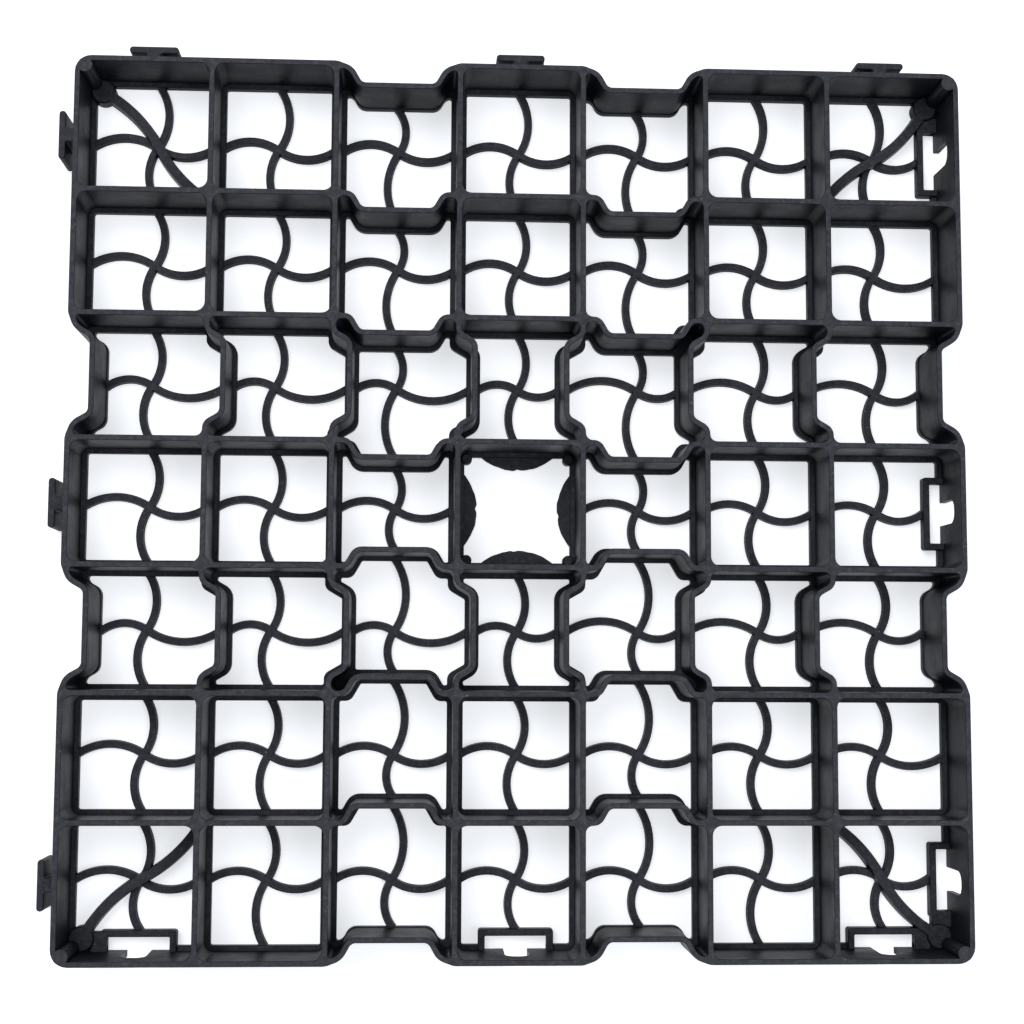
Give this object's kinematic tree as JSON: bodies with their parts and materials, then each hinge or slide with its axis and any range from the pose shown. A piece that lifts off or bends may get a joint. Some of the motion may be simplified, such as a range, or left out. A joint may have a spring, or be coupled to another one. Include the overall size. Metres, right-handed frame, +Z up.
{
  "type": "grass paver grid",
  "caption": "Square moulded plastic grid of open cells with S-shaped floor ribs, T tabs and sockets; laid under turf or gravel to carry wheels.",
  "frame": {"origin": "middle of the bounding box at the underside, tabs included", "axes": "+Z up from the bedding to the sky side, -X and +Y towards the sides with the T tabs, +X and -Y towards the sides with the sockets"},
  "size_m": [0.511, 0.511, 0.04],
  "materials": {
    "recycled_plastic": "satin black, as moulded"
  },
  "bodies": {
    "root": {"paver_grid": "recycled_plastic"}
  },
  "joints": []
}
